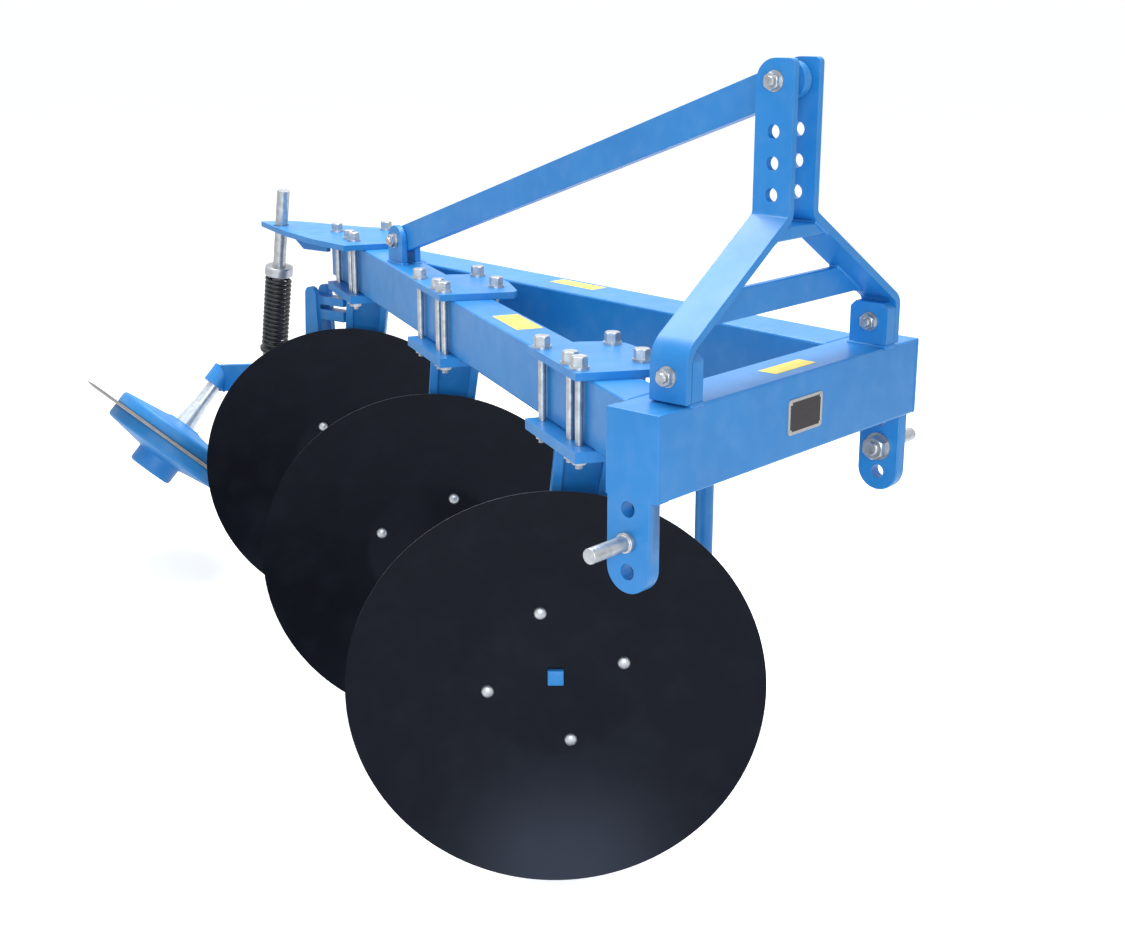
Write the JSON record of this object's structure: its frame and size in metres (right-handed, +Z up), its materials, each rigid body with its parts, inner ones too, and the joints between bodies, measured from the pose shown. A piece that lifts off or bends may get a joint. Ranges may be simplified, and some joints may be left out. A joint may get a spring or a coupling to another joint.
{
  "type": "disc plough",
  "caption": "Mounted disc plough: dished discs on cast legs along an angled box beam, with a top link mast, brace, parking stand and sprung rear furrow wheel.",
  "frame": {"origin": "on the ground under the middle of the machine's bounding box", "axes": "+Z up, +Y to the rear of the machine, against the direction of travel, +X to the machine's left"},
  "size_m": [1.0674, 2.2555, 1.2986],
  "materials": {
    "bare_steel": "turned bar, lightly oiled",
    "black_paint": "thin black paint over rolled steel, satin",
    "blue_paint": "glossy sprayed enamel over mill steel and castings",
    "dark_blue_paint": "glossy sprayed enamel on tube",
    "nameplate_aluminium": "anodised plate with a light border, blank",
    "yellow_label": "printed vinyl film, blank",
    "zinc_steel": "bright zinc plate, satin"
  },
  "bodies": {
    "frame": {"front_beam": "blue_paint", "main_beam": "blue_paint", "side_beam": "blue_paint", "beam_caps": "blue_paint", "lower_link_lug_right": "blue_paint", "lower_link_lug_left": "blue_paint", "lower_link_pins": "zinc_steel", "lower_link_nuts": "zinc_steel", "mast_bar_right": "blue_paint", "mast_bar_left": "blue_paint", "mast_lugs": "blue_paint", "mast_cross_bar": "blue_paint", "mast_spacer_plate": "blue_paint", "brace": "blue_paint", "brace_sleeves": "zinc_steel", "brace_lug": "blue_paint", "linkage_bolts": "zinc_steel", "linkage_nuts": "zinc_steel", "clamp_plate_1": "blue_paint", "clamp_base_1": "blue_paint", "clamp_plate_2": "blue_paint", "clamp_base_2": "blue_paint", "tail_plate": "blue_paint", "clamp_base_3": "blue_paint", "clamp_bolts": "zinc_steel", "clamp_nuts": "zinc_steel", "disc_leg_1": "blue_paint", "disc_leg_2": "blue_paint", "disc_leg_3": "blue_paint", "bearing_caps": "blue_paint", "furrow_wheel_axle": "bare_steel", "wheel_arm": "blue_paint", "pivot_ears": "blue_paint", "arm_bolts": "zinc_steel", "arm_nuts": "zinc_steel", "spring_rod": "bare_steel", "spring_collars": "zinc_steel", "spring": "black_paint", "tail_rib": "blue_paint", "stand_sleeve": "blue_paint", "stand_screw": "zinc_steel", "nameplate": "nameplate_aluminium", "labels": "yellow_label"},
    "disc_unit_1": {"disc_1": "black_paint", "disc_hub_1": "blue_paint", "disc_bolts_1": "zinc_steel"},
    "disc_unit_2": {"disc_2": "black_paint", "disc_hub_2": "blue_paint", "disc_bolts_2": "zinc_steel"},
    "disc_unit_3": {"disc_3": "black_paint", "disc_hub_3": "blue_paint", "disc_bolts_3": "zinc_steel"},
    "furrow_wheel": {"furrow_wheel_blade": "bare_steel", "furrow_wheel_drums": "blue_paint"},
    "parking_stand": {"stand_leg": "dark_blue_paint"}
  },
  "joints": [
    {"name": "disc_1_spin", "type": "hinge", "parent": "frame", "child": "disc_unit_1", "pos_m": [-0.31089, -0.81976, 0.33], "axis": [0.742, 0.6704, 0], "continuous": true},
    {"name": "disc_2_spin", "type": "hinge", "parent": "frame", "child": "disc_unit_2", "pos_m": [-0.00144, -0.23284, 0.33], "axis": [0.742, 0.6704, 0], "continuous": true},
    {"name": "disc_3_spin", "type": "hinge", "parent": "frame", "child": "disc_unit_3", "pos_m": [0.30801, 0.35408, 0.33], "axis": [0.742, 0.6704, 0], "continuous": true},
    {"name": "furrow_wheel_spin", "type": "hinge", "parent": "frame", "child": "furrow_wheel", "pos_m": [0.19635, 0.88719, 0.3246], "axis": [0.642, -0.208, 0.738], "continuous": true},
    {"name": "parking_stand_slide", "type": "slide", "parent": "frame", "child": "parking_stand", "axis": [0, 0, 1], "range_m": [0, 0.4]}
  ]
}
